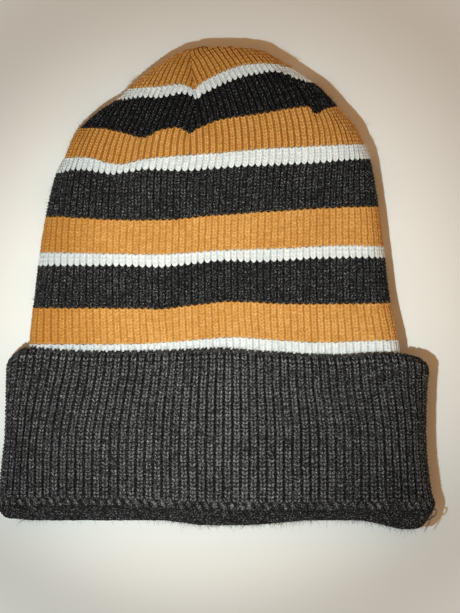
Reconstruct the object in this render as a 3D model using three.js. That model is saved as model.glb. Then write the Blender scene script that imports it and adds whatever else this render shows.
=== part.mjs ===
// A cuffed knit beanie lying flat on its back, in millimetres.
// X runs across the hat, Y runs from the mouth to the crown and Z points up from the surface it lies on.
// The hat is a knitted tube that is striped in three yarns. Its mouth is turned up into a wide black cuff, and its
// crown is closed by sewn darts. Each stripe is one length of yarn, so each is a piece of its own.
import * as THREE from "three";

// Driving dimensions.
const HAT_LENGTH = 216; // mouth edge to crown, cuff turned up
const CUFF_DEPTH = 79;
const WALL = 2.6; // rib knit, one layer
const EASE = 0.4; // air between the cuff and the tube inside it
const GAP = 0.3; // between two pieces that meet
const HOLLOW = 6.4; // air between the front and the back of the tube where the head goes in

// Places along Y.
const CROWN_Y = HAT_LENGTH / 2;
const MOUTH_Y = -HAT_LENGTH / 2;
const CUFF_TOP_Y = MOUTH_Y + CUFF_DEPTH;
const HEM_DEPTH = 9.8;
const FOLD_DEPTH = 3; // the part of the hem that turns under the end of the tube
const LINK_ROW = 3.2;
const RIM_DEPTH = 3.8;
const TUBE_END_Y = MOUTH_Y + FOLD_DEPTH + GAP;
const HEM_TOP_Y = MOUTH_Y + HEM_DEPTH;
const LINK_TOP_Y = HEM_TOP_Y + LINK_ROW;
const RIM_Y = CUFF_TOP_Y - RIM_DEPTH;

// Heights above the surface.
const TUBE_LIFT = WALL + EASE; // the tube lies on the back of the cuff
const TUBE_HEIGHT = 2 * WALL + HOLLOW;
const CUFF_HEIGHT = TUBE_HEIGHT + 2 * TUBE_LIFT;
const DRAPE = 26; // length over which the tube comes down to the surface above the cuff
const BODY_HEIGHT = 14;
const CROWN_HEIGHT = 15.5;
const CROWN_ROUNDING = 11; // length over which the crown closes

const BLACK = 0x1b1b1d;
const ORANGE = 0xc9823a;
const WHITE = 0xd6dad8;

// The stripes above the cuff, from its top edge to the crown: name, yarn colour and upper edge.
const STRIPES = [
  ["stripe_white_1", WHITE, -24.5],
  ["stripe_orange_1", ORANGE, -7.9],
  ["stripe_black_1", BLACK, 10.8],
  ["stripe_white_2", WHITE, 16.9],
  ["stripe_orange_2", ORANGE, 33.1],
  ["stripe_black_2", BLACK, 53.6],
  ["stripe_white_3", WHITE, 60.6],
  ["stripe_orange_3", ORANGE, 75],
  ["stripe_black_3", BLACK, 90.3],
  ["stripe_white_4", WHITE, 95.4],
];
const FIRST_STRIPE_Y = CUFF_TOP_Y - 1.8; // the lowest white stripe starts a little inside the cuff

// How the wall's outline is sampled: points round each side bend and along each flat.
const BEND_STEPS = 8;
const FLAT_STEPS = 6;
const STATION_STEP = 9;

// A smooth function of y through [y, x] points, which keeps to the first and last x outside them.
function through(points) {
  const slope = (i) => {
    const [a, b] = [points[Math.max(i - 1, 0)], points[Math.min(i + 1, points.length - 1)]];
    return (b[1] - a[1]) / (b[0] - a[0]);
  };
  return (y) => {
    if (y <= points[0][0]) return points[0][1];
    const next = points.findIndex((p) => p[0] > y);
    if (next < 0) return points.at(-1)[1];
    const [[y0, x0], [y1, x1]] = [points[next - 1], points[next]];
    const step = y1 - y0;
    const t = (y - y0) / step;
    const rise = t * t * (3 - 2 * t);
    const ease = t * (1 - t) * step;
    return x0 + (x1 - x0) * rise + ease * ((1 - t) * slope(next - 1) - t * slope(next));
  };
}

// The left and right edges of the tube and of the cuff, seen from above.
const tubeLeft = through([
  [MOUTH_Y, -87], [CUFF_TOP_Y, -84.4], [2, -81.3], [20, -79], [41, -75], [58, -68.6],
  [70, -62], [80, -52.3], [93, -35], [101, -25], [106, -16], [CROWN_Y, -4],
]);
const tubeRight = through([
  [MOUTH_Y, 86], [CUFF_TOP_Y, 82.8], [-7, 79], [20, 75.6], [36, 73.6], [58, 69.7],
  [68, 65.2], [78, 58], [90, 47], [99.5, 32.5], [104, 22.8], [106.5, 15], [CROWN_Y, 2],
]);
const cuffLeft = through([
  [MOUTH_Y, -91], [MOUTH_Y + 2.5, -96], [MOUTH_Y + 7, -98.5], [-87, -97.6], [-66, -95.4],
  [-40, -94.6], [CUFF_TOP_Y - 3, -93.8], [CUFF_TOP_Y, -91.5],
]);
const cuffRight = through([
  [MOUTH_Y, 89], [MOUTH_Y + 2.5, 94.5], [MOUTH_Y + 9, 98.5], [-91, 97.3], [-72, 95.4],
  [-46, 95.4], [CUFF_TOP_Y - 5, 95.8], [CUFF_TOP_Y - 2, 94], [CUFF_TOP_Y, 91.5],
]);

const smooth = (t) => {
  const held = THREE.MathUtils.clamp(t, 0, 1);
  return held * held * (3 - 2 * held);
};

// The tube's lowest and highest points at y, before it closes at the crown.
const tubeFloor = (y) => TUBE_LIFT * (1 - smooth((y - CUFF_TOP_Y) / DRAPE));
function tubeTop(y) {
  const above = smooth((y - CUFF_TOP_Y) / DRAPE);
  const puffed = smooth((y - 40) / 40);
  const low = TUBE_LIFT + TUBE_HEIGHT;
  return low + (BODY_HEIGHT - low) * above + (CROWN_HEIGHT - BODY_HEIGHT) * puffed;
}

// The section of the tube at y, moved inwards by inset: its edges, middle height and half height.
function tubeSection(y, inset = 0) {
  const fromTop = CROWN_Y - inset - y;
  const round = Math.min(fromTop / (CROWN_ROUNDING - inset), 1);
  const closing = Math.sqrt(Math.max(1 - (1 - round) ** 2, 0));
  const half = (tubeTop(y) - tubeFloor(y)) / 2;
  return {
    left: tubeLeft(y) + inset,
    right: tubeRight(y) - inset,
    middle: (tubeTop(y) + tubeFloor(y)) / 2,
    half: Math.max((half - inset) * closing, 0.4),
  };
}

function cuffSection(y, inset = 0) {
  return {
    left: cuffLeft(y) + inset,
    right: cuffRight(y) - inset,
    middle: CUFF_HEIGHT / 2,
    half: CUFF_HEIGHT / 2 - inset,
  };
}

// One closed loop of points round a section, at height y: flat above and below, with rounded sides.
function loop(section, y) {
  const { left, right, middle, half } = section;
  const bend = Math.min(half * 1.15, (right - left) / 2.2);
  const points = [];
  const side = (x, way) => {
    for (let i = 0; i <= BEND_STEPS; i += 1) {
      const angle = (i / BEND_STEPS - 0.5) * Math.PI;
      points.push([x + way * bend * Math.cos(angle), y, middle + way * half * Math.sin(angle)]);
    }
  };
  const flat = (from, to, z) => {
    for (let i = 1; i < FLAT_STEPS; i += 1) points.push([from + ((to - from) * i) / FLAT_STEPS, y, z]);
  };
  side(right - bend, 1);
  flat(right - bend, left + bend, middle + half);
  side(left + bend, -1);
  flat(left + bend, right - bend, middle - half);
  return points;
}

// A closed surface over a list of loops. A ring joins its last loop to its first, and a cap is filled at both ends.
function skin(loops, ring) {
  const n = loops[0].length;
  const index = [];
  const spans = ring ? loops.length : loops.length - 1;
  for (let k = 0; k < spans; k += 1) {
    const [low, high] = [k * n, ((k + 1) % loops.length) * n];
    for (let i = 0; i < n; i += 1) {
      const j = (i + 1) % n;
      index.push(low + i, high + i, low + j, low + j, high + i, high + j);
    }
  }
  const positions = loops.flat(2);
  const fill = (first, flip) => {
    const centre = positions.length / 3;
    const points = loops[first / n];
    const mean = [0, 1, 2].map((k) => points.reduce((sum, p) => sum + p[k], 0) / n);
    positions.push(...mean);
    for (let i = 0; i < n; i += 1) {
      const [a, b] = [first + i, first + ((i + 1) % n)];
      index.push(centre, ...(flip ? [b, a] : [a, b]));
    }
  };
  if (!ring) {
    fill(0, false);
    fill((loops.length - 1) * n, true);
  }
  const geometry = new THREE.BufferGeometry();
  geometry.setAttribute("position", new THREE.Float32BufferAttribute(positions, 3));
  geometry.setIndex(index);
  return geometry;
}

// Stations from one y to another, no further apart than STATION_STEP.
function stations(from, to) {
  const count = Math.max(1, Math.ceil(Math.abs(to - from) / STATION_STEP));
  return Array.from({ length: count + 1 }, (_, i) => from + ((to - from) * i) / count);
}

// A band of one layer of knit between two heights, all the way round a section.
function band(section, from, to, wall = WALL) {
  const outer = stations(from, to).map((y) => loop(section(y), y));
  const inner = stations(to, from).map((y) => loop(section(y, wall), y));
  return skin([...outer, ...inner], true);
}

// The last stripe: it closes over the crown, and is hollow below.
function crownCap(from) {
  const rising = (top, steps) =>
    Array.from({ length: steps + 1 }, (_, i) => from + (top - from) * Math.sin((i / steps) * (Math.PI / 2)));
  const outer = rising(CROWN_Y, 8).map((y) => loop(tubeSection(y), y));
  const inner = rising(CROWN_Y - WALL - 0.6, 6).map((y) => loop(tubeSection(y, WALL), y));
  return skin([...inner.reverse(), ...outer], false);
}

// The fold at the mouth: one layer beside the tube, which turns under its end in a half circle.
function hemRoll() {
  const turn = (TUBE_LIFT + WALL) / 2;
  const fold = Array.from({ length: BEND_STEPS + 1 }, (_, i) => {
    const angle = (i / BEND_STEPS) * Math.PI;
    return [turn + turn * Math.cos(angle), MOUTH_Y + turn - turn * Math.sin(angle)];
  });
  const top = HEM_TOP_Y - GAP;
  const foldTop = MOUTH_Y + FOLD_DEPTH;
  const profile = [[WALL, top], [WALL, foldTop], [2 * turn, foldTop], ...fold, [0, top]];
  const loops = profile.map(([inset, y]) => loop(cuffSection(y, inset), y));
  return skin(loops, true);
}

// A thread of round section along a curve.
function thread(points, radius, steps) {
  const section = new THREE.Shape();
  section.absarc(0, 0, radius, 0, Math.PI * 2);
  const path = new THREE.CatmullRomCurve3(points.map((p) => new THREE.Vector3(...p)));
  return new THREE.ExtrudeGeometry(section, { steps, curveSegments: 4, extrudePath: path });
}

// A dart's sewn allowance, against the inside of the crown along the line from [x, y] to [x, y].
// side is 1 on the front and -1 on the back.
const SEAM_RADIUS = 0.9;
const SEAM_STEPS = 8;
function dartSeam(from, to, side) {
  const points = Array.from({ length: SEAM_STEPS + 1 }, (_, i) => {
    const x = THREE.MathUtils.lerp(from[0], to[0], i / SEAM_STEPS);
    const y = THREE.MathUtils.lerp(from[1], to[1], i / SEAM_STEPS);
    const inside = tubeSection(y, WALL);
    return [x, y, inside.middle + side * (inside.half - SEAM_RADIUS - GAP)];
  });
  return thread(points, SEAM_RADIUS, SEAM_STEPS * 2);
}

const LEFT_DART = [[-11.7, 68], [-11.7, 98.5]];
const RIGHT_DART = [[44.5, 74], [31, 92]];
const KNOT_RADIUS = 1.5;
const TAIL_RADIUS = 0.55;

function closingKnot() {
  const knot = new THREE.SphereGeometry(KNOT_RADIUS, 12, 8);
  knot.translate(LEFT_DART[1][0], LEFT_DART[1][1] + KNOT_RADIUS + 2 * GAP, tubeSection(LEFT_DART[1][1]).middle);
  return knot;
}

// The loose end of the cuff's yarn: a small loop that stands out of the rounded corner of the mouth.
function yarnTail() {
  const corner = [95.2, MOUTH_Y + 2.3, CUFF_HEIGHT / 2];
  const points = Array.from({ length: 6 }, (_, i) => {
    const angle = -2.2 + i * 0.75;
    return [corner[0] + 1.6 * Math.cos(angle), corner[1] + 1.5 * Math.sin(angle), corner[2] + 0.5 * i];
  });
  return thread(points, TAIL_RADIUS, 14);
}

const hat = new THREE.Group();
const cuff = new THREE.Group();
hat.add(cuff);

function piece(parent, name, geometry, color) {
  const material = new THREE.MeshStandardMaterial({ color, roughness: 0.95, metalness: 0 });
  const mesh = new THREE.Mesh(geometry, material);
  mesh.name = name;
  parent.add(mesh);
}

piece(hat, "under_cuff_band", band(tubeSection, TUBE_END_Y, FIRST_STRIPE_Y - GAP), BLACK);
let lower = FIRST_STRIPE_Y;
for (const [name, color, upper] of STRIPES) {
  piece(hat, name, band(tubeSection, lower, upper - GAP), color);
  lower = upper;
}
piece(hat, "crown_orange", crownCap(lower), ORANGE);
piece(hat, "dart_seam_front_left", dartSeam(...LEFT_DART, 1), ORANGE);
piece(hat, "dart_seam_front_right", dartSeam(...RIGHT_DART, 1), ORANGE);
piece(hat, "dart_seam_back_left", dartSeam(...LEFT_DART, -1), ORANGE);
piece(hat, "dart_seam_back_right", dartSeam(...RIGHT_DART, -1), ORANGE);
piece(hat, "crown_closing_knot", closingKnot(), ORANGE);

piece(cuff, "cuff_hem_roll", hemRoll(), BLACK);
piece(cuff, "cuff_link_stitches", band(cuffSection, HEM_TOP_Y, LINK_TOP_Y - GAP), BLACK);
piece(cuff, "cuff_wall", band(cuffSection, LINK_TOP_Y, RIM_Y - GAP), BLACK);
piece(cuff, "cuff_top_edge", band(cuffSection, RIM_Y, CUFF_TOP_Y), BLACK);
piece(cuff, "yarn_tail", yarnTail(), BLACK);

export default hat;
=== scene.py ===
"""The looks of a cuffed knit beanie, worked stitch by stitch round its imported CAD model.

Every band of yarn is one closed ring of knitting: ribs run up it, courses run round it, and each stitch
is shaped in the mesh. Lengths are in millimetres until a mesh is made, with X across the hat, Y from its
mouth to its crown and Z up.
"""
import math
import bpy
import numpy as np
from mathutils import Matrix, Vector


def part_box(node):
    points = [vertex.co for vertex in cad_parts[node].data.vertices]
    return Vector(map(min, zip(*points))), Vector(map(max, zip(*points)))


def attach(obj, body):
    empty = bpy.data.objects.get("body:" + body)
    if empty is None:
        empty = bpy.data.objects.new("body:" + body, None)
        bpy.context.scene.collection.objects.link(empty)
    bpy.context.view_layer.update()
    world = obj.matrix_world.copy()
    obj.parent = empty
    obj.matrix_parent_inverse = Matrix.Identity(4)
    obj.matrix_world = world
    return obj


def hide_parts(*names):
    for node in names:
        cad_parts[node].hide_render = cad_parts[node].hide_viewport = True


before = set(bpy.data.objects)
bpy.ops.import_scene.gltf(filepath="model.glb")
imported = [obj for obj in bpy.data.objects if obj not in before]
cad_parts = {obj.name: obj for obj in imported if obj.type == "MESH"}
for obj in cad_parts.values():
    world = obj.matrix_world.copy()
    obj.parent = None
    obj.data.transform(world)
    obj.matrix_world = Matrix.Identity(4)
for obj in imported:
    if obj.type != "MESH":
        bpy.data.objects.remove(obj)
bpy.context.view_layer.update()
MM = 0.001

# The knitting.
RIBS = 56  # ribs on each face of the hat
PITCH = 2.95  # from rib to rib on the stretched tube
CUFF_PITCH = 3.6  # from rib to rib on the cuff
COURSE = 1.46  # height of one row of stitches on the tube
CUFF_COURSE = 1.69  # height of one row of stitches on the cuff
WALL = 2.6  # thickness of one layer
RELIEF = 1.1  # height of a rib over the channel beside it
ZIGZAG = 0.32  # how far a stitch's arms rise from its middle to its sides, in courses
CHANNEL_RISE = 0.45  # how far the purl side of a course lies above its knit side, in courses
TOOTH = 0.6  # height of the black points at the edge of a white stripe
CREASE = {"black": 0.4, "orange": 0.5, "white": 0.55}  # height of the crease between two stitches, as a share
TUBE_PURL = 0.25  # how high the purl side rises in the channels, as a share of the ribs
CROWN_PURL = 0.12  # the same in the crown
CUFF_PURL = 0.3  # the same on the cuff and under it
ROWS = 4  # mesh rows to a course
FLOOR_GAP = 0.02  # the cloth stays this far above the floor
FIBRE_GAP = 0.1  # and a loose fibre's middle this far
RIB_WANDER = 31  # seed of the way the tube's ribs stray sideways

# How each yarn ring is rounded at the sides of the flat hat.
BEND = 8.6
QUARTER = 1.46 * BEND  # length of the surface round one bend


def node_box(name):
    """Lowest and highest corner of a CAD node, in millimetres."""
    low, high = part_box(name)
    return np.array(low) / MM, np.array(high) / MM


def node_span(name):
    """Lowest and highest y of a CAD node."""
    low, high = node_box(name)
    return low[1], high[1]


MOUTH_Y = node_span("cuff_hem_roll")[0]
CROWN_Y = node_span("crown_orange")[1] + 1.2  # with its stitches, which the CAD model has no room for
CUFF_TOP_Y = node_span("cuff_top_edge")[1]
CUFF_HEIGHT = node_box("cuff_wall")[1][2]
BODY_HEIGHT = node_box("stripe_white_2")[1][2]
CROWN_HEIGHT = node_box("stripe_black_3")[1][2]
UNDER_LOW, UNDER_HIGH = (corner[2] for corner in node_box("under_cuff_band"))
DRAPE = 26  # length over which the tube comes down to the surface above the cuff


def through(points):
    """A smooth function through [(t, value), ...], which keeps its first and last value outside them."""
    t, v = np.array(points, float).T
    slope = np.empty_like(v)
    slope[1:-1] = (v[2:] - v[:-2]) / (t[2:] - t[:-2])
    slope[0] = (v[1] - v[0]) / (t[1] - t[0])
    slope[-1] = (v[-1] - v[-2]) / (t[-1] - t[-2])

    def at(x):
        x = np.clip(x, t[0], t[-1])
        i = np.clip(np.searchsorted(t, x, side="right") - 1, 0, len(t) - 2)
        step = t[i + 1] - t[i]
        s = (x - t[i]) / step
        ease = s * (1 - s) * step
        turn = (1 - s) * slope[i] - s * slope[i + 1]
        return v[i] + (v[i + 1] - v[i]) * s * s * (3 - 2 * s) + ease * turn

    return at


def smooth(t):
    """Goes from 0 to 1 with t, level at both ends."""
    held = np.clip(t, 0, 1)
    return held * held * (3 - 2 * held)


# ---------------- the outline

tube_left = through([
    (MOUTH_Y, -87), (CUFF_TOP_Y, -84.4), (2, -81.2), (20, -78.8), (41, -75), (51.6, -71.9), (58, -68.4),
    (66.8, -65.2), (70.7, -62.6), (79.7, -52.6), (85.1, -44.2), (94.4, -34.4), (102.2, -24.6), (106.2, -17.2),
    (108.2, -12), (CROWN_Y, -6),
])
tube_right = through([
    (MOUTH_Y, 86), (CUFF_TOP_Y, 82.9), (-7, 79), (12.3, 76.4), (36, 73.6), (58, 69.7), (66.7, 66), (71.3, 64),
    (75.9, 60.4), (84.4, 52.6), (90, 47.2), (95.4, 39.7), (100.4, 32.3), (102.2, 29.8), (105.7, 24.4),
    (107.5, 19.4), (108.6, 13.4), (CROWN_Y, 7),
])
cuff_left = through([
    (MOUTH_Y, -98.8), (-96, -98.5), (-87, -97.4), (-66, -95.3), (-40, -94.6), (CUFF_TOP_Y - 3, -94.4),
    (CUFF_TOP_Y, -93.2),
])
cuff_right = through([
    (MOUTH_Y, 98.4), (MOUTH_Y + 12, 98.6), (-91, 97.4), (-72, 95.2), (-46, 95.4), (CUFF_TOP_Y - 6, 96.2),
    (CUFF_TOP_Y - 1.8, 95.6), (CUFF_TOP_Y, 94.2),
])


class Tube:
    """The outer surface of the tube: its edges seen from above, and its height."""

    left, right = staticmethod(tube_left), staticmethod(tube_right)
    closed = True  # its edges meet at the crown

    @staticmethod
    def low(y):
        return UNDER_LOW * (1 - smooth((y - CUFF_TOP_Y) / DRAPE))

    @staticmethod
    def high(y):
        above = smooth((y - CUFF_TOP_Y) / DRAPE)
        puffed = smooth((y - 40) / 40)
        return UNDER_HIGH + (BODY_HEIGHT - UNDER_HIGH) * above + (CROWN_HEIGHT - BODY_HEIGHT) * puffed


class Cuff:
    """The outer surface of the turned-up cuff."""

    left, right = staticmethod(cuff_left), staticmethod(cuff_right)
    closed = False

    @staticmethod
    def low(y):
        return 0 * y

    @staticmethod
    def high(y):
        return CUFF_HEIGHT + 0 * y


CROWN_START = 60  # a little below the feet of the darts
CROWN_TURN = 94  # from here up, the outline's points lie closer and closer together


def outline(form):
    """Points along the edges of a form seen from above, and the direction outwards at each."""
    height = CROWN_Y - CROWN_TURN
    turned = CROWN_Y - np.linspace(height, 0, 90) ** 2 / height
    y = np.concatenate([np.arange(MOUTH_Y - 6, CROWN_TURN, 1.5), turned])
    left = np.stack([form.left(y), y], 1)
    right = np.stack([form.right(y), y], 1)[::-1]
    if form.closed:
        return normals_of(np.concatenate([left, right]))
    return tuple(np.concatenate(pair) for pair in zip(normals_of(left), normals_of(right)))


def normals_of(points):
    """The points of a line that don't fall on each other, and the direction outwards at each."""
    along = np.gradient(points, axis=0)
    out = np.stack([-along[:, 1], along[:, 0]], 1)
    length = np.linalg.norm(out, axis=1, keepdims=True)
    keep = length[:, 0] > 1e-6
    return points[keep], (out / np.maximum(length, 1e-6))[keep]


def edge_distance(form, x, y):
    """Distance in from the outline, and the outward direction there, for arrays of places seen from above."""
    points, out = form.edges
    flat = np.stack([x.ravel(), y.ravel()], 1).astype(np.float32)
    near = np.empty(len(flat), int)
    p = points.astype(np.float32)
    length2 = (p * p).sum(1)
    chunk = 20000
    for start in range(0, len(flat), chunk):
        part = flat[start:start + chunk]
        near[start:start + chunk] = np.argmin(length2 - 2 * part @ p.T, axis=1)
    inward = ((points[near] - flat) * out[near]).sum(1)
    return inward.reshape(x.shape), out[near].reshape(x.shape + (2,))


Tube.edges = outline(Tube)
Cuff.edges = outline(Cuff)

# ---------------- courses and ribs of the tube

# The upper edge of each band on the front, as (x, y). The cloth lies in soft waves, so none is straight.
HIDDEN_EDGE = through([(-84, -31), (84, -31)])
STRAIGHT_EDGES = {
    "stripe_white_1": [
        (-79, -25.6), (-34, -25.5), (-16, -24.3), (2, -22.7), (12, -22.6), (29, -23.9), (47, -24.8),
        (76, -23.8),
    ],
    "stripe_orange_1": [
        (-79, -9.4), (-34, -9.6), (-25, -9.9), (-8, -7.9), (8, -6.5), (29, -7.5), (50, -7.6), (76, -7.2),
    ],
    "stripe_black_1": [(-79, 9.6), (-43, 9.5), (-24, 9.0), (2, 11.6), (20, 11.3), (47, 12.8), (74, 13.2)],
    "stripe_white_2": [(-79, 15.7), (-43, 15), (-24, 14.8), (2, 16.5), (29, 17.4), (56, 18.7), (74, 18.4)],
    "stripe_orange_2": [
        (-72, 31.7), (-52, 30.5), (-42, 30.1), (-20, 30.3), (-7, 31.6), (2, 32.3), (29, 34.2), (56, 35.8),
        (74, 36.2),
    ],
    "stripe_black_2": [
        (-70, 51.4), (-64, 52.6), (-54, 51.8), (-47, 50.6), (-40, 51.5), (-32, 52.6), (-16, 52.1), (-6, 52.6),
        (11, 54), (29, 54.8), (47, 55.8), (67, 57.6),
    ],
    "stripe_white_3": [
        (-66, 58.3), (-59, 58.3), (-54, 57.4), (-49, 56), (-43, 55.1), (-37, 56.4), (-31, 57.7), (-24, 58.3),
        (-16, 59), (2, 60.2), (20, 62), (38, 62.9), (67, 64.4),
    ],
}

# Two sewn darts part the crown's front into three panels. Each has the y of its foot and a line of (y, x).
DARTS = (
    (68.9, through([(68.9, -11.6), (76, -10), (84, -8.5), (89, -9.4), (107, -11.8)])),
    (78, through([(78, 46), (88, 38.6), (99.7, 30.2), (105, 25)])),
)

# The upper edges of the crown's bands on each panel, from left to right, as (x, y).
CROWN_EDGES = {
    "stripe_orange_3": (
        [(-62, 71.8), (-52, 71.4), (-43, 69.6), (-32, 67.2), (-25, 70.4), (-17, 71.5), (-11.6, 68.9)],
        [(-11.6, 68.9), (-7, 71.6), (2, 75), (20, 77.8), (38, 80.8), (43, 80.6), (46, 78)],
        [(46, 78), (50, 80.4), (58, 82.3)],
    ),
    "stripe_black_3": (
        [(-45, 84.4), (-34, 85.2), (-25, 85), (-16, 86.6), (-11, 85.8), (-8.4, 83.8)],
        [(-8.4, 83.8), (-6.6, 85.8), (2, 90.3), (11, 93.9), (20, 95.8), (27, 96.9), (33, 95.6)],
        [(30, 95.8), (33, 95), (38, 93.6), (42, 92.4)],
    ),
    "stripe_white_4": (
        [(-42, 89.6), (-25, 90), (-16, 91), (-9.4, 88.7)],
        [(-9.4, 88.7), (-7, 91), (2, 96), (11, 99.2), (20, 100.5), (29, 100.4)],
        [(29, 99.8), (33, 99.4), (38, 98.4)],
    ),
}

# How far the crown's ribs lean from straight up, as the rise in x for each mm in y. Each panel has its lean
# at its left side and at its right side, and each of those goes with height, as (y, lean).
LEAN = [[through(side) for side in panel] for panel in (
    ([(55, 0.3), (75, 0.6), (90, 0.62), (105, 0.55)], [(62, 0), (72, 0.3), (90, 0.38), (105, 0.36)]),
    ([(62, 0), (72, -0.1), (90, -0.36), (105, -0.5)], [(62, 0), (75, -0.25), (90, -0.62), (105, -1.1)]),
    ([(66, 0), (78, -0.45), (90, -0.72), (105, -1)], [(55, -0.2), (70, -0.5), (90, -0.95), (105, -1.1)]),
)]
PANEL_SIDES = ((-64, -11.6), (-11.6, 46), (46, 66))


def face_columns(share, fine, channel):
    """The rib coordinate of every column of one face, from -RIBS / 2 to RIBS / 2. In each rib, fine + 1
    columns lie over the raised stitches, and then channel in the groove."""
    raised = np.linspace(0, share, fine + 1)
    sunk = share + (1 - share) * np.arange(1, channel + 1) / (channel + 1)
    one = np.concatenate([raised, sunk])
    return (np.arange(RIBS)[:, None] + one).ravel() - RIBS / 2


def tube_start(a, y):
    """Where the ribs stand across the tube at y: evenly over the flat, and closer round the bends."""
    half = (Tube.right(y) - Tube.left(y)) / 2 - BEND + QUARTER
    middle = (Tube.right(y) + Tube.left(y)) / 2
    t = a / (RIBS / 2)
    even = np.minimum(PITCH * RIBS / 2 / half, 1.22)
    return middle + half * (even * t + (1 - even) * t ** 5)


def rolled(form, across, y):
    """Turns places measured along the cloth into x seen from above, rolled round the bends at both sides, and
    says how far past the bends each lies."""
    left, right = form.left(y), form.right(y)
    step = 0.5
    change = np.maximum(abs(form.left(y + step) - left), abs(form.right(y + step) - right))
    tilt = np.hypot(1, change / step)
    bend = np.minimum(BEND * tilt, (right - left) / 2.05)
    quarter = bend * QUARTER / BEND
    turn_left = np.clip((left + bend - across) / quarter, 0, 1) * math.pi / 2
    turn_right = np.clip((across - right + bend) / quarter, 0, 1) * math.pi / 2
    flat = np.clip(across, left + bend, right - bend)
    past = np.maximum(left + bend - quarter - across, across - right + bend - quarter)
    return flat - bend * np.sin(turn_left) + bend * np.sin(turn_right), np.maximum(past, 0)


def soft_noise(x, y, cell, seed):
    """Smooth noise between -1 and 1, with a new value every cell."""
    size = 97
    grid = np.random.default_rng(seed).uniform(-1, 1, (size, size))
    u, v = x / cell + size / 2, y / cell + size / 2
    i, j = np.floor(u).astype(int), np.floor(v).astype(int)
    fu, fv = smooth(u - i), smooth(v - j)
    i, j, i2, j2 = i % size, j % size, (i + 1) % size, (j + 1) % size
    low = grid[i, j] * (1 - fu) + grid[i2, j] * fu
    high = grid[i, j2] * (1 - fu) + grid[i2, j2] * fu
    return low * (1 - fv) + high * fv


# ---------------- the shape of a stitch


def stitch(t, course, share, purl, crease):
    """Height of the knitting from 0 to 1, for t across one rib and course up it. Two columns of beads, the
    arms of the V stitches, stand beside a channel, where the bars of the purl side rise as high as purl."""
    q = course - np.floor(course)
    x = np.abs(2 * t / share - 1)
    arm = np.sqrt(np.clip(1 - ((x - 0.46 - 0.14 * q) / 0.5) ** 2, 0, 1))
    arm = np.maximum(arm, (0.2 + 0.8 * crease) * (1 - x))
    bead = np.sqrt(np.clip(1 - np.abs(2 * q - 1) ** 1.8, 0, 1))
    raised = arm * (crease + (1 - crease) * bead)
    groove = np.sin(np.clip((t - share) / (1 - share), 0, 1) * math.pi)
    bar = 0.5 - 0.5 * np.cos(2 * math.pi * (q + 0.25))
    return np.where(t < share, raised, groove * purl * (0.3 + 0.7 * bar))


def teeth(t, share, name, rise):
    """How far a band's edge rises in a point at each groove, where black yarn is caught in white."""
    point = np.clip(1 - np.abs((t - (1 + share) / 2 + 0.5) % 1 - 0.5) / 0.3, 0, 1)
    edge = {"black": smooth(rise * 3 - 2), "white": 1 - smooth(rise * 3)}
    return TOOTH * point * edge.get(name.split("_")[1], 0)


# How each ring looks and lies: how pale its grooves and its crests are, where 0 is its yarn's deep colour and
# 1 the light one, so painted shade in the grooves and painted highlight on the crests, and how deep its ribs
# are, from 0 to 1. The tube is stretched flat in its lower stripes, and its ribs stand close and deep in the
# crown. The crown's black is painted darkest, painted shade where less light reaches the top of the hat.
PLAIN = (0.1, 0.77, 1.0)
LOOKS = {
    "stripe_white_1": (0.35, 0.86, 0.75),
    "stripe_orange_1": (0.35, 0.85, 0.6),
    "stripe_black_1": (0.03, 0.64, 0.85),
    "stripe_white_2": (0.32, 0.84, 0.7),
    "stripe_orange_2": (0.35, 0.82, 0.6),
    "stripe_black_2": (0.03, 0.66, 0.85),
    "stripe_white_3": (0.32, 0.9, 0.85),
    "stripe_orange_3": (0.1, 0.92, 1.0),
    "stripe_black_3": (-0.12, 0.5, 1.0),
    "stripe_white_4": (0.4, 0.88, 0.8),
    "crown_orange": (-0.15, 0.85, 1.0),
}


# ---------------- meshes


def mark(mesh, knit, tone):
    """Gives a mesh's points their knit, which is place in the stitch, course and paleness, where the paleness
    carries the painted shade of the grooves and the painted highlight of the crests, and their tone.
    """
    places = mesh.attributes.new("knit", "FLOAT_VECTOR", "POINT")
    places.data.foreach_set("vector", knit.astype(np.float32).ravel())
    tones = mesh.attributes.new("tone", "FLOAT", "POINT")
    tones.data.foreach_set("value", tone.astype(np.float32).ravel())


def grid_mesh(name, points, knit, tone):
    """A mesh over a grid of points whose rows and columns both run all the way round."""
    rows, cols = points.shape[:2]
    r, c = np.arange(rows)[:, None], np.arange(cols)
    r2, c2 = (r + 1) % rows, (c + 1) % cols
    quads = np.stack([r * cols + c, r * cols + c2, r2 * cols + c2, r2 * cols + c], -1).reshape(-1, 4)
    mesh = bpy.data.meshes.new(name)
    mesh.vertices.add(rows * cols)
    mesh.vertices.foreach_set("co", (points * MM).astype(np.float32).ravel())
    mesh.loops.add(quads.size)
    mesh.loops.foreach_set("vertex_index", quads.astype(np.int32).ravel())
    mesh.polygons.add(len(quads))
    mesh.polygons.foreach_set("loop_start", np.arange(0, quads.size, 4, dtype=np.int32))
    mesh.polygons.foreach_set("use_smooth", np.ones(len(quads), bool))
    mesh.update(calc_edges=True)
    mark(mesh, knit, tone)
    return mesh


def add_object(name, data):
    obj = bpy.data.objects.new(name, data)
    bpy.context.scene.collection.objects.link(obj)
    return obj


def add_piece(name, mesh, body, slot, material, *replaced):
    """Puts a mesh in the scene as a piece that rides a body and stands in for the replaced CAD nodes."""
    piece = add_object(name, mesh)
    mesh.materials.append(material)
    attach(piece, body)
    if replaced:
        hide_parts(*replaced)


# ---------------- yarn


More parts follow.
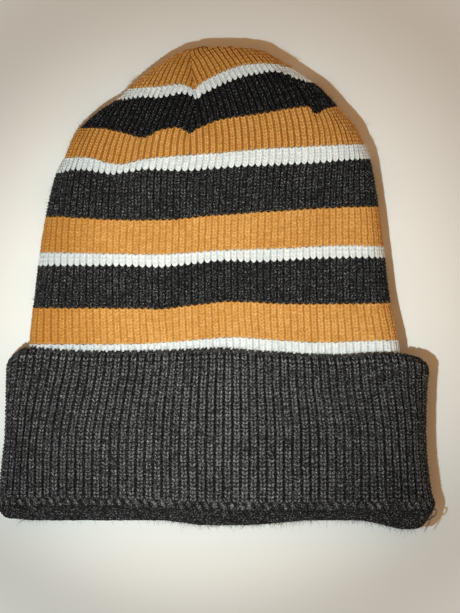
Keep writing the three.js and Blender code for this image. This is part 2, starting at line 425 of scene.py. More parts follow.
class Nodes:
    """A short way to build a material's nodes."""

    def __init__(self, name):
        self.material = bpy.data.materials.new(name)
        self.material.use_nodes = True
        self.tree = self.material.node_tree
        self.shader = self.tree.nodes["Principled BSDF"]

    def add(self, kind, inputs=None, **settings):
        node = self.tree.nodes.new(kind)
        for key, value in settings.items():
            setattr(node, key, value)
        for key, value in (inputs or {}).items():
            self.put(node.inputs[key], value)
        return node

    def put(self, socket, value):
        if isinstance(value, bpy.types.NodeSocket):
            self.tree.links.new(value, socket)
        else:
            socket.default_value = value

    def maths(self, operation, a, b=0.0):
        return self.add("ShaderNodeMath", {0: a, 1: b}, operation=operation).outputs[0]

    def mix(self, factor, a, b):
        node = self.add("ShaderNodeMix", data_type="RGBA")
        self.put(node.inputs["Factor"], factor)
        self.put(node.inputs[6], a)
        self.put(node.inputs[7], b)
        return node.outputs[2]

    def noise(self, place, scale, detail, roughness=0.5):
        inputs = {"Vector": place, "Scale": scale, "Detail": detail, "Roughness": roughness}
        return self.add("ShaderNodeTexNoise", inputs).outputs["Fac"]

    def ramp(self, factor, *stops):
        node = self.add("ShaderNodeValToRGB", {"Fac": factor})
        elements = node.color_ramp.elements
        while len(elements) < len(stops):
            elements.new(0.5)
        for element, (position, colour) in zip(elements, stops):
            element.position = position
            element.color = (*colour, 1)
        return node.outputs["Color"]


def yarn(name, deep, mid, light, fibre_glint, sheen, shine, grain):
    """Spun acrylic yarn. Its colour goes from deep in the grooves, painted shade, to light on the crests,
    painted highlight, with painted glints of pale colour on stray fibres. sheen is its soft glow, shine its
    gloss, and grain how uneven it is."""
    n = Nodes(name)
    knit = n.add("ShaderNodeAttribute", attribute_name="knit").outputs["Vector"]
    stitch_place = n.add("ShaderNodeSeparateXYZ", {0: knit}).outputs
    place = n.add("ShaderNodeTexCoord").outputs["Object"]
    fibres = n.noise(place, 1300.0, 2.0, 0.6)
    level = n.maths("MULTIPLY", stitch_place["Z"], unevenness(n, place, fibres, grain))
    # Painted shade and highlight: the colour darkens with the level into the grooves and pales onto the
    # crests.
    colour = n.ramp(level, (0.1, deep), (0.6, mid), (1, light))
    # Painted glints: pale spots on stray fibres, strongest on the crests.
    spots = {"Value": n.noise(place, 1700.0, 1.0), "From Min": 0.57, "From Max": 0.7, "To Max": 1.0}
    stray = n.add("ShaderNodeMapRange", spots).outputs["Result"]
    n.put(n.shader.inputs["Base Color"], n.mix(n.maths("MULTIPLY", stray, level), colour, (*fibre_glint, 1)))
    n.put(n.shader.inputs["Normal"], yarn_relief(n, stitch_place, fibres))
    n.shader.inputs["Roughness"].default_value = 0.85
    n.shader.inputs["Specular IOR Level"].default_value = shine
    n.shader.inputs["Sheen Weight"].default_value = sheen
    n.shader.inputs["Sheen Roughness"].default_value = 0.5
    n.shader.inputs["Sheen Tint"].default_value = (*light, 1)
    return n.material


def unevenness(n, place, fibres, grain):
    """A value round 1 that goes up and down with each stitch, with the fibres and in wide patches."""
    tone = n.add("ShaderNodeAttribute", attribute_name="tone").outputs["Fac"]
    varied = 1.0
    for value, strength in ((tone, 0.25), (fibres, grain), (n.noise(place, 60.0, 3.0), 0.4)):
        varied = n.maths("ADD", varied, n.maths("MULTIPLY", n.maths("SUBTRACT", value, 0.5), strength))
    return varied


def yarn_relief(n, stitch_place, fibres):
    """The fine bumps of the fibres and of the twisted plies."""
    across = n.maths("MULTIPLY", stitch_place["X"], 9.0)
    along = n.maths("MULTIPLY", stitch_place["Y"], 20.0)
    twist = n.maths("SINE", n.maths("ADD", across, along))
    rough = n.add("ShaderNodeBump", {"Height": fibres, "Strength": 0.6, "Distance": 0.0003}).outputs["Normal"]
    plies = {"Height": twist, "Strength": 0.3, "Distance": 0.0001, "Normal": rough}
    return n.add("ShaderNodeBump", plies).outputs["Normal"]


def thread(name, colour):
    """Smooth sewing thread of two plies."""
    n = Nodes(name)
    place = n.add("ShaderNodeTexCoord").outputs["Object"]
    plies = {"Vector": place, "Scale": 900.0, "Distortion": 0.6}
    wave = n.add("ShaderNodeTexWave", plies, bands_direction="DIAGONAL").outputs["Fac"]
    dark = tuple(0.55 * c for c in colour)
    bump = n.add("ShaderNodeBump", {"Height": wave, "Distance": 0.0002})
    n.put(n.shader.inputs["Base Color"], n.ramp(wave, (0.1, dark), (0.8, colour)))
    n.put(n.shader.inputs["Normal"], bump.outputs["Normal"])
    n.shader.inputs["Roughness"].default_value = 0.7
    return n.material


# Each yarn's deep colour is painted shade in its grooves, its light colour is painted highlight on its
# crests, and the pale colour of its stray fibres is painted glints.
YARNS = {
    "black": yarn(
        "black_yarn", deep=(0.003, 0.003, 0.003), mid=(0.015, 0.015, 0.016), light=(0.15, 0.152, 0.162),
        fibre_glint=(0.34, 0.35, 0.37), sheen=0.01, shine=0.08, grain=1.9,
    ),
    "orange": yarn(
        "orange_yarn", deep=(0.3, 0.11, 0.012), mid=(0.51, 0.235, 0.05), light=(0.7, 0.38, 0.12),
        fibre_glint=(0.75, 0.45, 0.18), sheen=0.05, shine=0.2, grain=1.7,
    ),
    "white": yarn(
        "white_yarn", deep=(0.38, 0.42, 0.47), mid=(0.6, 0.64, 0.67), light=(0.84, 0.87, 0.88),
        fibre_glint=(0.95, 0.95, 0.95), sheen=0.03, shine=0.2, grain=1.0,
    ),
}


# ---------------- loose fibres


# A strand's paleness is a crest's, so it takes the painted highlight of the crests.
STRAND_TONE = 0.85  # a strand is all crest, so this is its place in the stitch, its paleness and its tone


def strand_quads(count, steps, sides):
    """The faces of so many open tubes, each with so many steps along it and sides round it."""
    start = (np.arange(count) * steps * sides)[:, None, None]
    row = (np.arange(steps - 1) * sides)[None, :, None]
    corner = np.arange(sides)[None, None, :]
    here = start + row + corner
    beside = start + row + (corner + 1) % sides
    return np.stack([here, beside, beside + sides, here + sides], -1).reshape(-1, 4)


def strands(name, paths, radii, sides, body, colour, *replaced):
    """Thin round strands along paths, an array of strands by points by XYZ, with a radius at each point."""
    count, steps = paths.shape[:2]
    along = np.gradient(paths, axis=1)
    along /= np.maximum(np.linalg.norm(along, axis=-1, keepdims=True), 1e-9)
    across = np.cross(along, np.array([0.31, 0.2, 0.93]))
    across /= np.maximum(np.linalg.norm(across, axis=-1, keepdims=True), 1e-9)
    third = np.cross(along, across)
    angle = np.arange(sides) / sides * 2 * math.pi
    ringed = across[:, :, None] * np.cos(angle)[:, None] + third[:, :, None] * np.sin(angle)[:, None]
    points = (paths[:, :, None] + ringed * radii[:, :, None, None]).reshape(-1, 3)
    mesh = bpy.data.meshes.new(name)
    mesh.from_pydata((points * MM).tolist(), [], strand_quads(count, steps, sides).tolist())
    tone = np.full(len(points), STRAND_TONE)
    mark(mesh, np.stack([tone, np.repeat(np.arange(count * steps), sides) * 0.4, tone], -1), tone)
    mesh.polygons.foreach_set("use_smooth", np.ones(len(mesh.polygons), bool))
    add_piece(name, mesh, body, colour + "_yarn", YARNS[colour], *replaced)


def stray_fibres(name, start, aim, curl, length, radius, body, colour):
    """Fine tapering fibres that leave their starts along aim and bend towards curl."""
    t = np.linspace(0, 1, 6)[None, :, None]
    paths = start[:, None] + (aim[:, None] * t + curl[:, None] * t ** 2) * length[:, None, None]
    paths[..., 2] = np.maximum(paths[..., 2], FIBRE_GAP)
    radii = np.full((len(start), 6), radius) * (1.15 - t[..., 0])
    strands(name, paths, radii, 3, body, colour)


def fuzz(name, outer, normal, sunk, seed, body, colour):
    """Stray fibres that stand out of a ring of knitting, more of them where it turns down at the sides."""
    rng = np.random.default_rng(seed)
    chance = (1.3 - np.abs(normal[..., 2])) * (sunk < 0.3)
    chance[:ROWS // 2] = chance[-ROWS // 2:] = 0
    count = 9 * len(outer)
    root = rng.choice(chance.size, count, p=(chance / chance.sum()).ravel())
    base, out = outer.reshape(-1, 3)[root], normal.reshape(-1, 3)[root]
    aim = out + rng.normal(0, 0.7, (count, 3))
    aim /= np.linalg.norm(aim, axis=1, keepdims=True)
    curl = np.cross(aim, rng.normal(0, 1, (count, 3))) * 0.45
    length = rng.uniform(0.8, 2.4, count)
    stray_fibres(name, base, aim, curl, length, 0.045, body, colour)


# ---------------- rings of knitting


def dart_pull(x, y):
    """How far the sewn darts draw the front of the crown down, and the soft folds that run from them."""
    down = 0
    for foot, line in DARTS:
        depth = smooth((y - foot + 5) / 9)
        down = down + 1.5 * depth * np.exp(-((x - line(y)) / 2.0) ** 2)
    fold = np.exp(-(((x + 31) + 0.5 * (y - 67)) / 6) ** 2 - ((y - 70) / 9) ** 2)
    swell = np.exp(-(((x + 24) + 0.4 * (y - 70)) / 5) ** 2 - ((y - 72) / 10) ** 2)
    return down + 1.1 * fold - 0.8 * swell


def surface(form, x, y, side, front_shape):
    """Points of a form's outer surface and its outward direction. side is 1 in front and -1 behind."""
    inward, out = edge_distance(form, x, y)
    inward = np.maximum(inward, 0)
    lean = 1 - np.clip(inward / BEND, 0, 1)
    lift = np.sqrt(np.clip(1 - lean ** 2, 0, 1))
    middle = (form.high(y) + form.low(y)) / 2
    half = (form.high(y) - form.low(y)) / 2
    z = middle + side * half * lift
    z = z + np.where(side > 0, front_shape(x, y) * lift, 0)
    sideways = out * (lean / BEND)[..., None]
    upward = side * lift / half
    normal = np.concatenate([sideways, upward[..., None]], -1)
    normal /= np.maximum(np.linalg.norm(normal, axis=-1, keepdims=True), 1e-9)
    return np.stack([x, y, z], -1), normal


def tube_shape(x, y):
    """How the tube's front rises and falls."""
    waves = 0.5 * soft_noise(x, y, 24, 11) + 0.25 * soft_noise(x, y, 11, 12)
    return waves - dart_pull(x, y)


def cuff_shape(x, y):
    """How the cuff's front rises and falls."""
    return 0.45 * soft_noise(x, y, 26, 21) + 0.2 * soft_noise(x, y, 12, 22)


def even_shape(x, y):
    """The shape of a front that doesn't rise or fall."""
    return 0 * x


def stitch_tone(rib, course, seed):
    """One random value for each stitch, between 0 and 1."""
    table = np.random.default_rng(seed).random((2 * RIBS, 128))
    return table[rib.astype(int) % (2 * RIBS), np.floor(course).astype(int) % 128]


class Columns:
    """The mesh columns of a ring: fine on the front from left to right, then coarse on the back from right
    to left. share is how much of each rib its raised stitches fill."""

    def __init__(self, share, fine=8, channel=3, coarse=4, back_channel=1):
        front = face_columns(share, fine, channel)
        back = face_columns(share, coarse, back_channel)[::-1]
        self.share = share
        self.a = np.concatenate([front, back])
        self.side = np.concatenate([np.ones(len(front)), -np.ones(len(back))])

    def keep(self, kept):
        """The columns of a ring that has lost some."""
        other = object.__new__(Columns)
        other.share, other.a, other.side = self.share, self.a[kept], self.side[kept]
        return other

    @property
    def t(self):
        """The place of each column across its rib, from 0 to 1."""
        return self.a - np.floor(self.a)

    @property
    def rib(self):
        """The number of each column's rib, counted on round the back."""
        return np.floor(self.a) + RIBS / 2 + np.where(self.side > 0, 0, RIBS)

    @property
    def leg(self):
        """How far each column lies from the middle of the raised stitches, where 1 is their side."""
        return np.abs(2 * self.t / self.share - 1)

    @property
    def zigzag(self):
        """How far a course is shifted up or down at each column, in courses."""
        raised = ZIGZAG * (np.minimum(self.leg, 0.8) / 0.8 - 0.6)
        return np.where(self.t < self.share, raised, CHANNEL_RISE)


def stitch_height(columns, x, y, course, purl, crease, seed):
    """Height of a ring's stitches, whose purl side is more open in some places and ribs than in others."""
    by_rib = soft_noise(21 * columns.rib + 0 * x, y, 16, seed)
    closed = purl * (1 + 0.6 * soft_noise(x, y, 16, seed) + 1.2 * by_rib)
    return stitch(columns.t + 0 * x, course, columns.share, np.maximum(closed, 0), crease)


def paleness(x, height, groove, crest, body, colour):
    """How pale each point of a ring is: painted shade in its grooves and painted highlight on its crests. The
    cuff's middle is painted paler, a painted highlight, and the tube's left, but not its black, is painted
    darker, painted shade.
    """
    # Painted highlight: the cuff is paler in its middle, where the light on it is brightest.
    wear_and_highlight = 0.13 * np.exp(-(x / 55) ** 2) * (body == "cuff")
    # Painted shade: the tube's coloured yarn is darker towards its left side.
    left_painted_shade = 0.3 * smooth((-x - 38) / 42) * (colour != "black")
    return groove - left_painted_shade + (crest + wear_and_highlight - groove) * height


def walled_mesh(name, outer, inner, knit, tone):
    """A closed wall of knitting, up its outside and down its inside, which has fewer rows."""
    back = slice(None, None, -ROWS)
    points = np.concatenate([outer, inner[back]])
    points[..., 2] = np.maximum(points[..., 2], FLOOR_GAP)
    inner_knit = knit[back].copy()
    inner_knit[..., 2] = 0.5
    return grid_mesh(name, points, np.concatenate([knit, inner_knit]), np.concatenate([tone, tone[back]]))


def ring(name, form, columns, x, y, course, sunk, body, colour, node, shape, purl, seed):
    """One closed ring of knitting. x, y, course and sunk are arrays of rows by columns, from the lower edge
    to the upper one: places seen from above, the course of each point, and how far it is down in a seam."""
    groove, crest, deep = LOOKS.get(node, PLAIN)
    side = columns.side + 0 * x
    x = x + 0.13 * soft_noise(x, y, 1.6, seed + 2)
    y = y + 0.16 * soft_noise(x, y, 1.9, seed + 3)
    tone = stitch_tone(columns.rib + 0 * x, course + 40, seed)
    height = stitch_height(columns, x, y, course, purl, CREASE[colour], seed + 1)
    lively = 1 + 0.22 * (tone - 0.5)
    base, normal = surface(form, x, y, side, shape)
    base[..., 2] -= side * np.minimum(sunk, 3.0) * 0.8
    relief = RELIEF * (1 - deep * (1 - height * lively)) * np.exp(-sunk / 1.2)
    outer = base + normal * (relief - RELIEF)[..., None]
    knit = np.stack([columns.leg + 0 * x, course, paleness(x, height, groove, crest, body, colour)], -1)
    mesh = walled_mesh(name, outer, base - normal * WALL, knit, tone)
    fuzz(node + "_fuzz", outer, normal, sunk + 0 * x, seed + 5, body, colour)
    add_piece(name, mesh, body, colour + "_yarn", YARNS[colour], node)


def wander(x, y, seed):
    """How far a rib strays sideways."""
    return 0.3 * soft_noise(x, y, 20, seed) + 0.16 * soft_noise(x, y * 0.6, 5, seed + 1)


def dart_limits(panel, y):
    """The span of the cloth that a panel may fill at y, in x."""
    high = np.full(y.shape, 1e3)
    low = -high
    for number, (foot, line) in enumerate(DARTS):
        high = np.where((panel == number) & (y > foot), line(y), high)
        low = np.where((panel == number + 1) & (y > foot), line(y), low)
    return low, high


def by_panel(functions, panel, x):
    """The value at x of each panel's own function."""
    return np.select([panel == 0, panel == 1], [functions[0](x), functions[1](x)], functions[2](x))


def tube_bands():
    """Every ring of the tube above the cuff, from the cuff to the crown."""
    columns = Columns(share=0.86)
    lower = HIDDEN_EDGE
    for index, (name, edge) in enumerate(STRAIGHT_EDGES.items()):
        upper = through(edge)
        height = upper(0) - lower(0)
        courses = max(2, round(height / COURSE))
        rise = np.linspace(0, 1, courses * ROWS + 1)[:, None]
        y = lower(0) + height * rise + 0 * columns.a
        for _ in range(3):
            across = tube_start(columns.a, y) + wander(columns.a * PITCH + 0 * y, y, RIB_WANDER)
            x, sunk = rolled(Tube, across, y)
            y = lower(x) + (upper(x) - lower(x)) * rise
        y = y + columns.zigzag * COURSE + teeth(columns.t, columns.share, name, rise)
        course = rise * courses + 0 * x
        tube_ring(name, columns, x, y, course, sunk, TUBE_PURL, 100 + index)
        lower = upper
    crown_bands(lower)


def tube_ring(name, columns, x, y, course, sunk, purl, seed):
    """A ring of the tube, in the colour of its name."""
    colour = name.split("_")[1]
    ring(name + "_knit", Tube, columns, x, y, course, sunk, "root", colour, name, tube_shape, purl, seed)


def crown_bands(lower):
    """The rings of the crown, where ribs lean and run into the darts and over the edge."""
    columns = Columns(share=0.78)
    across, panel = crown_start(columns, lower)
    lower = (lower,) * 3
    for index, (name, edges) in enumerate(CROWN_EDGES.items()):
        upper = tuple(through(edge) for edge in edges)
        courses = max(3, round(float(upper[1](10) - lower[1](10)) / COURSE))
        rise = np.linspace(0, 1, courses * ROWS + 1)[:, None]
        x, y, sunk, across = crown_rows(across, panel, lower, upper, rise)
        course = rise * courses + 0 * x
        y = y + columns.zigzag * COURSE + teeth(columns.t, columns.share, name, rise)
        crown_ring(name, columns, x, y, course, sunk, 200 + index)
        lower = upper
    crown_top(columns, across, panel, lower)


def crown_top(columns, across, panel, lower):
    """The last ring of the crown, which goes down over its edge."""
    rise = 1 - (1 - np.linspace(0, 1, 14 * ROWS + 1)[:, None]) ** 1.5
    x, y, sunk, _ = crown_rows(across, panel, lower, (crown_line,) * 3, rise)
    sunk = sunk + 1.4 * smooth((rise - 0.92) / 0.08)
    course = (y - y[:1]) / COURSE
    y = y + columns.zigzag * COURSE * (1 - rise)
    crown_ring("crown_orange", columns, x, y, course, sunk, 203)


def crown_start(columns, lower):
    """Where the ribs enter the crown, and the panel that each of them runs into."""
    y = CROWN_START + 0 * columns.a
    for _ in range(3):
        across = tube_start(columns.a, y) + wander(columns.a * PITCH, y, RIB_WANDER)
        y = lower(rolled(Tube, across, y)[0])
    panel = np.select([across < PANEL_SIDES[0][1], across < PANEL_SIDES[1][1]], [0, 1], 2)
    return across, panel


def crown_rows(across, panel, lower, upper, rise):
    """x, y and depth in a seam of every row of a crown's ring, and where its ribs stand across at its end."""
    rows = []
    y = None
    for part in rise:
        x, _ = rolled(Tube, across, across * 0 + CROWN_START if y is None else y)
        for _ in range(2):
            bottom, top = by_panel(lower, panel, x), by_panel(upper, panel, x)
            new_y = bottom + np.maximum(top - bottom, 0) * part
            held = np.clip(across, *dart_limits(panel, new_y))
            x, past = rolled(Tube, held, new_y)
        if y is not None:
            across = across + (new_y - y) * lean_at(panel, across, new_y)
        y = new_y
        rows.append((x, y, np.maximum(np.abs(across - held), past)))
    x, y, sunk = (np.array(row) for row in zip(*rows))
    return x, y, sunk, across


def crown_ring(name, columns, x, y, course, sunk, seed):
    """A ring of the crown, without the ribs that a dart has taken in below it."""
    y = np.minimum(y, crown_line(x))
    kept = sunk[0] < 1.5
    x, y, course, sunk = (rows[:, kept] for rows in (x, y, course, sunk))
    tube_ring(name, columns.keep(kept), x, y, course, sunk, CROWN_PURL, seed)


def lean_at(panel, across, y):
    """How far the ribs lean at y, between the two sides of their panel."""
    lean = 0
    for number, (sides, pair) in enumerate(zip(PANEL_SIDES, LEAN)):
        share = np.clip((across - sides[0]) / (sides[1] - sides[0]), 0, 1)
        lean = lean + np.where(panel == number, pair[0](y) * (1 - share) + pair[1](y) * share, 0)
    return lean


def crown_line(x):
    """The highest y that the tube reaches at x."""
    points = Tube.edges[0]
    top = points[points[:, 1] > CROWN_START]
    return np.interp(x, top[:, 0], top[:, 1])


def level_rows(columns, low, high, course_height, rows):
    """y and course of every point of a ring of level courses, with so many mesh rows to a course."""
    courses = round((high - low) / course_height)
    rise = np.linspace(0, 1, courses * rows + 1)[:, None]
    return low + (high - low) * rise + 0 * columns.a, rise * courses + 0 * columns.a


def under_cuff():
    """The part of the tube that the cuff hides."""
    columns = Columns(share=0.7, fine=4, channel=1)
    low = node_span("under_cuff_band")[0]
    y, course = level_rows(columns, low, HIDDEN_EDGE(0), COURSE, 2)
    x, sunk = rolled(Tube, tube_start(columns.a, y), y)
    y = y + columns.zigzag * COURSE * smooth((y - low) / 3)
    ring("under_cuff_knit", Tube, columns, x, y, course, sunk, "root", "black", "under_cuff_band",
         even_shape, CUFF_PURL, 300)


# The cuff's edges lie in soft waves: how far the hem, the link stitches and the upper edge are lifted at x.
HEM_LIFT = through([
    (-98.6, 9), (-97.6, 6.4), (-95.5, 5.3), (-84, 4.7), (-70, 5.8), (-43, 5.8), (-30, 5.1), (-14, 3.1),
    (-7, 2.2), (11, 2.1), (22, 2.6), (33, 3.6), (51, 4.9), (65, 4.2), (69, 3.6), (74, 2.4), (81, 0.7),
    (87, 0.3), (91, 0.6), (94, 1.5), (96, 3), (97.3, 5.2), (98.4, 8.6),
])
LINK_LIFT = through([(-98, 0.6), (-40, 0.2), (0, -1.5), (90, -1.3)])
TOP_LIFT = through([
    (-95, -3.6), (-91.5, -1), (-86, 1.2), (-70, 0.3), (-57, -0.3), (-41, -0.3), (-24, 0), (-11, 0.5), (2, 1),
    (20, -0.3), (33, -1.1), (46, -1.8), (56, -2), (69, -1.1), (79, -1), (85, -1.8), (92, -2.7), (95.5, -3.8),
])
LINK_Y = node_span("cuff_link_stitches")[0]
CUFF_COLUMNS = Columns(share=0.8)


def cuff_lift(x, y):
    """How far the cuff's waves move its cloth up at a place."""
    below = np.clip((LINK_Y - y) / (LINK_Y - MOUTH_Y), 0, 1)
    above = smooth((y - LINK_Y) / 30)
    near_top = smooth((y - CUFF_TOP_Y) / 22 + 1)
    return HEM_LIFT(x) * below + LINK_LIFT(x) * (1 - below) * (1 - above) + TOP_LIFT(x) * near_top


def cuff_start(a, y):
    """Where the cuff's ribs stand: evenly round it at the top, further apart below, and upright in its lower
    half, where only those at the sides follow its edges."""
    held = np.maximum(y, -75)
    left, right = Cuff.left(held), Cuff.right(held)
    half = (right - left) / 2 - BEND + QUARTER
    t = a / (RIBS / 2)
    even = 1 + 0.1 * smooth((CUFF_TOP_Y - y) / 40)
    x = (left + right) / 2 + half * (even * t + (1 - even) * t ** 5)
    x = x + t ** 6 * np.where(t < 0, Cuff.left(y) - left, Cuff.right(y) - right)
    return x + wander(a * CUFF_PITCH + 0 * y, y, 42)


def cuff_ring(name, columns, profile, relief, shade, shift, tone_seed, node, tuck=0.0):
    """A ring of the cuff. profile has one row for each loop round its section: y, depth below the cuff's
    surface, and the angle through which the cloth has turned, which is positive towards the crown. relief,
    shade and shift, which is how far each point is moved up, are arrays of rows by columns. tuck is how far
    in the sides are drawn."""
    y0, depth, turn = (np.array(row, float)[:, None] + 0 * columns.a for row in zip(*profile))
    x, _ = rolled(Cuff, cuff_start(columns.a, y0), y0)
    y = y0 + cuff_lift(x, y0) + shift
    base, normal = surface(Cuff, x, y0, columns.side + 0 * x, cuff_shape)
    base[..., 1] = y
    along = np.array([0, 1, 0])
    facing = normal * np.cos(turn)[..., None] + along * np.sin(turn)[..., None]
    points = base - normal * (depth + RELIEF)[..., None] + facing * (RELIEF * relief)[..., None]
    points[..., 0] -= tuck * normal[..., 0]
    points[..., 2] = np.maximum(points[..., 2], FLOOR_GAP)
    tone = stitch_tone(columns.rib + 0 * x, 40 + y0 / CUFF_COURSE, tone_seed)
    knit = np.stack([columns.leg + 0 * x, y0 / CUFF_COURSE, shade], -1)
    mesh = grid_mesh(name, points, knit, tone)
    add_piece(name, mesh, "cuff", "black_yarn", YARNS["black"], node)


def cuff_wall():
    """The cuff's outside, where the stretched rib shows both its knit and its purl stitches."""
    columns = CUFF_COLUMNS
    y, course = level_rows(columns, *node_span("cuff_wall"), CUFF_COURSE, ROWS)
    x, sunk = rolled(Cuff, cuff_start(columns.a, y), y)
    y = y + columns.zigzag * CUFF_COURSE + cuff_lift(x, y)
    ring("cuff_wall_knit", Cuff, columns, x, y, course, sunk, "cuff", "black", "cuff_wall",
         cuff_shape, CUFF_PURL, 400)


def quarter_turn(y, reach, depth, steps):
    """Profile rows round a quarter of an ellipse."""
    return [
        (y + reach * math.sin(angle), depth * (1 - math.cos(angle)), angle)
        for angle in np.linspace(0, math.pi / 2, steps + 1)
    ]


def cuff_top_edge():
    """The cuff's upper edge, where the courses curl down to the tube and end in a lobe on each rib."""
    columns = CUFF_COLUMNS
    low, high = node_span("cuff_wall")[1], CUFF_TOP_Y
    outer = quarter_turn(low, high - low, WALL - RELIEF, 14)
    inner = [(low + (high - low) * part, WALL - RELIEF, math.pi / 2) for part in (0.8, 0.4, 0)]
    profile = outer + inner
    y = np.array([row[0] for row in profile])[:, None]
    course = (y - low) / CUFF_COURSE
    height = stitch(columns.t + 0 * y, course, columns.share, CUFF_PURL, CREASE["black"])
    height = np.where(np.arange(len(profile))[:, None] < len(outer), height, 0.2)
    shade = height * (1 - 0.3 * smooth((y - low) / (high - low) * 1.6))
    shift = columns.zigzag * CUFF_COURSE * (1 - smooth((y - low) / (high - low)))
    cuff_ring("cuff_top_edge_knit", columns, profile, height, shade, shift, 410, "cuff_top_edge")


def link_row():
    """The row of chunky slanting stitches that joins the hem to the cuff."""
    columns = CUFF_COLUMNS
    low, high = node_span("cuff_link_stitches")
    overlap = 0.8
    reach = high - low + 2 * overlap
    rise = np.linspace(0, 1, 13)
    outer = [(low - overlap + reach * part, 0, 0) for part in rise]
    profile = outer + [(high, WALL - RELIEF, 0), (low, WALL - RELIEF, 0)]
    up = np.concatenate([rise, [1, 0]])[:, None]
    lobe = (0.5 + 0.5 * np.cos(2 * math.pi * (columns.a - 0.27 + 0.5 * up))) ** 0.7
    height = 0.4 + 0.8 * np.sin(up * math.pi) ** 0.7 * (1.1 * lobe - 0.1)
    shift = columns.zigzag * CUFF_COURSE * up
    wear_and_highlight = soft_noise(CUFF_PITCH * columns.a + 0 * up, 0 * up + 0 * columns.a, 9, 421)
    shade = 0.1 + (0.55 + 0.2 * wear_and_highlight) * height
    cuff_ring("link_stitches_knit", columns, profile, height, shade, shift, 420, "cuff_link_stitches")


def hem_profile():
    """The hem's profile in three parts: its outside, its curl under the end of the tube, and its inside."""
    low, top = node_span("cuff_hem_roll")
    half = (UNDER_LOW + WALL - RELIEF) / 2
    curl = 3
    outer = [(y, depth, -angle) for y, depth, angle in quarter_turn(top, low - top, half, 28)]
    under = [
        (low + curl * (1 - math.sin(angle)), half - half * math.cos(angle), -angle)
        for angle in np.linspace(math.pi / 2, math.pi, 7)[1:]
    ]
    inner = [(low + curl, WALL - RELIEF, -math.pi), (top, WALL - RELIEF, -math.pi)]
    return outer, under, inner


def hem_roll():
    """The fold at the mouth: smooth on the outside, where it rolls under the end of the tube."""
    columns = Columns(share=0.7, fine=6, coarse=3)
    outer, under, inner = hem_profile()
    profile = outer + under + inner
    rows = np.arange(len(profile))[:, None]
    shown = rows < len(outer) + len(under)
    course = rows / ROWS
    strokes = 0.5 + 0.5 * np.cos(2 * math.pi * (2 * columns.a + 0.5 * np.floor(course)))
    bars = np.sin(math.pi * (course - np.floor(course) + 0.12)) ** 2
    fade = smooth(rows / 3) * shown
    place = CUFF_PITCH * columns.a + 0 * rows, 0.32 * rows + 0 * columns.a
    felt = soft_noise(*place, 0.8, 431) + 0.7 * soft_noise(*place, 1.9, 432)
    height = 0.4 + fade * (0.35 * bars * (0.25 + 0.75 * strokes) + 0.2 * (1 + felt / 2))
    shade = 0.2 + fade * (0.3 * bars * strokes + 0.13 * felt + 0.1)
    tuck = 9 * smooth((rows - len(outer)) / 5) * shown
    # The rows run down the outside, so they are reversed to face outwards.
    flip = slice(None, None, -1)
    profile, height, shade, tuck = profile[flip], height[flip], shade[flip], tuck[flip]
    cuff_ring("hem_roll_knit", columns, profile, height, shade, 0, 430, "cuff_hem_roll", tuck)


# ---------------- the tail and the cuff's edges


def yarn_tail():
    """The loose end of the cuff's yarn: three twisted plies that curl out of the corner of the mouth."""
    low, high = node_box("yarn_tail")
    corner = Vector((low[0] - 3, low[1] + 2, (low[2] + high[2]) / 2))
    turns = (
        (0, 0, 0), (4, 1, 0), (7.5, 3.2, 1), (8, 5.6, 1.6), (6.2, 5.2, 2), (6, 2.6, 2), (4.6, -1, 1.2),
        (3, -4.4, 0),
    )
    t = np.linspace(0, len(turns) - 1, 70)
    route = [through(list(enumerate(values)))(t) for values in zip(*turns)]
    centre = np.stack([start + way for start, way in zip(corner, route)], 1)
    twist = t * 9
    plies = []
    for phase in (0, 2.1, 4.2):
        offset = np.stack([np.cos(twist + phase), np.sin(twist + phase), 0.5 * np.cos(twist + phase)], 1)
        plies.append(centre + (0.12 + 0.05 * t[:, None]) * offset)
    radii = np.full((3, len(t)), 0.13) * (1 - 0.6 * (t / t[-1]) ** 3)
    strands("yarn_tail_plies", np.array(plies), radii, 6, "cuff", "black", "yarn_tail")


def edge_fuzz(name, count, edge, reach, low, high, way, rising, seed):
    """Stray fibres that stand out of an edge of the cuff, which is a function of x, as far to each side as
    reach and between two heights. way is 1 for fibres that point to the crown and -1 for ones that point away
    from it. rising is how steeply they point up."""
    rng = np.random.default_rng(seed)
    x = rng.uniform(-reach, reach, count)
    start = np.stack([x, edge(x), rng.uniform(low, high, count)], -1)
    climb = rising + rng.normal(0, 0.5 - 0.4 * rising, count)
    aim = np.stack([rng.normal(0, 0.7, count), way * rng.uniform(0.5, 1, count), climb], -1)
    curl = rng.normal(0, 0.6, (count, 3)) * (1, 1, 1 - rising)
    stray_fibres(name, start, aim, curl, rng.uniform(0.6, 2.6, count), 0.08, "cuff", "black")


def cuff_edge_fuzz():
    """The fibres along the hem, and those along the cuff's upper edge, which keep off the tube's sides."""
    edge_fuzz(
        "hem_fuzz", count=2600, edge=lambda x: MOUTH_Y + HEM_LIFT(x) - 0.4, reach=89,
        low=5, high=CUFF_HEIGHT - 5, way=-1, rising=0, seed=77,
    )
    edge_fuzz(
        "rim_fuzz", count=700, edge=lambda x: CUFF_TOP_Y + TOP_LIFT(x) - 0.8, reach=76,
        low=CUFF_HEIGHT - 2.2, high=CUFF_HEIGHT - 1.4, way=1, rising=0.8, seed=78,
    )


# ---------------- the scene


def seams():
    """The threads inside the crown keep their CAD shapes."""
    orange = thread("seam_thread", (0.5, 0.22, 0.05))
    for name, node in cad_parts.items():
        if name.startswith("dart_seam") or name == "crown_closing_knot":
            node.material_slots[0].material = orange


# Places in the scene are in metres.
LAMP = Vector((-0.122, -0.11, 0.475))  # a near lamp, as its shadows spread away from the lower left
LIT = Vector((-0.004, -0.02, 0))  # the middle of the pool of light
CAMERA = Vector((0.0064, -0.0087, 1.5))
VIEW_WIDTH = 0.276  # width of what the camera sees at half the cuff's height


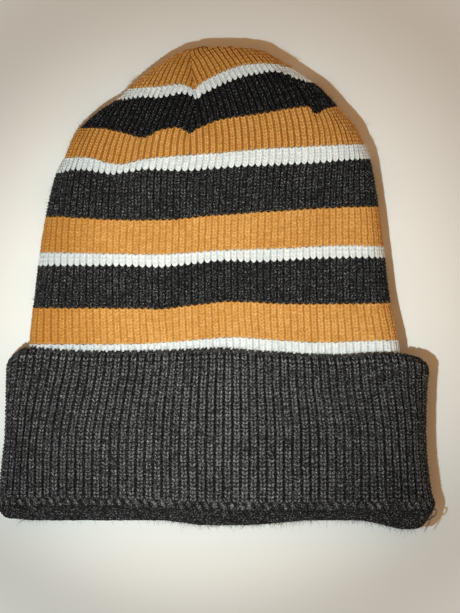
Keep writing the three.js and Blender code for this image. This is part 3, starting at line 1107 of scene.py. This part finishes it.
def lighting():
    """A near key, a pool of light on the middle from the same place, and a warm, pale room."""
    key = bpy.data.lights.new("key", "POINT")
    key.energy, key.color = 3.95, (0.4, 0.82, 1.0)
    pool = bpy.data.lights.new("pool", "SPOT")
    pool.energy, pool.color = 7.9, (1.0, 0.98, 0.87)
    pool.spot_size, pool.spot_blend = math.radians(35), 1.0
    for light in (key, pool):
        light.shadow_soft_size = 0.01
        lamp = add_object(light.name, light)
        lamp.location = LAMP
        lamp.rotation_euler = (LIT - LAMP).to_track_quat("-Z", "Y").to_euler()
    world = bpy.data.worlds.new("studio")
    world.use_nodes = True
    background = world.node_tree.nodes["Background"]
    background.inputs["Color"].default_value = (1.0, 0.53, 0.2, 1)
    background.inputs["Strength"].default_value = 0.45
    bpy.context.scene.world = world


def floor_mesh():
    """A round floor whose rim sweeps up into a backdrop on all sides."""
    reach, sweep, sides = 3.2, 1.6, 64
    section = [(reach * part, 0) for part in (0.1, 0.5, 1)]
    for turn in np.linspace(0.1, 1.5, 15):
        section.append((reach + sweep * math.sin(turn), sweep * (1 - math.cos(turn))))
    angles = np.arange(sides) / sides * 2 * math.pi
    points = [(r * math.cos(angle), r * math.sin(angle), z) for r, z in section for angle in angles]
    quads = []
    for row in range(len(section) - 1):
        near, far = row * sides, (row + 1) * sides
        for i in range(sides):
            beside = (i + 1) % sides
            quads.append((near + i, far + i, far + beside, near + beside))
    mesh = bpy.data.meshes.new("floor")
    mesh.from_pydata(points, [], quads + [tuple(range(sides))])
    mesh.polygons.foreach_set("use_smooth", np.ones(len(mesh.polygons), bool))
    return mesh


def floor_material():
    """Pale paint, painted paler away from the hat as painted light, and lit a little of its own there, where
    the near lamp doesn't reach.
    """
    n = Nodes("pale_floor")
    place = n.add("ShaderNodeTexCoord").outputs["Object"]
    distance = n.add("ShaderNodeVectorMath", {0: place}, operation="LENGTH").outputs["Value"]
    # Painted light: the paint is paler away from the hat, where the near lamp's light falls off.
    paint_and_painted_light = (0.16, (0.8, 0.79, 0.785)), (0.36, (0.98, 0.98, 0.98))
    glow = (
        (0.15, (0, 0, 0)), (0.24, (0.19, 0.21, 0.22)), (0.35, (0.2, 0.26, 0.29)),
        (0.5, (0.2, 0.31, 0.35)), (1, (0.235, 0.38, 0.44)),
    )
    n.put(n.shader.inputs["Base Color"], n.ramp(distance, *paint_and_painted_light))
    n.put(n.shader.inputs["Emission Color"], n.ramp(distance, *glow))
    n.shader.inputs["Emission Strength"].default_value = 1
    n.shader.inputs["Roughness"].default_value = 0.8
    n.shader.inputs["Specular IOR Level"].default_value = 0.1
    return n.material


def floor():
    mesh = floor_mesh()
    mesh.materials.append(floor_material())
    obj = add_object("floor", mesh)


def camera():
    """A camera straight above the hat, with the crown at the top of its view."""
    data = bpy.data.cameras.new("camera")
    data.sensor_width = 36
    data.lens = data.sensor_width * (CAMERA.z - CUFF_HEIGHT / 2 * MM) / VIEW_WIDTH
    obj = add_object("camera", data)
    obj.location = CAMERA
    bpy.context.scene.camera = obj


camera()
lighting()
floor()
tube_bands()
under_cuff()
cuff_wall()
cuff_top_edge()
link_row()
hem_roll()
yarn_tail()
cuff_edge_fuzz()
seams()
bpy.context.scene.view_settings.view_transform = "Standard"
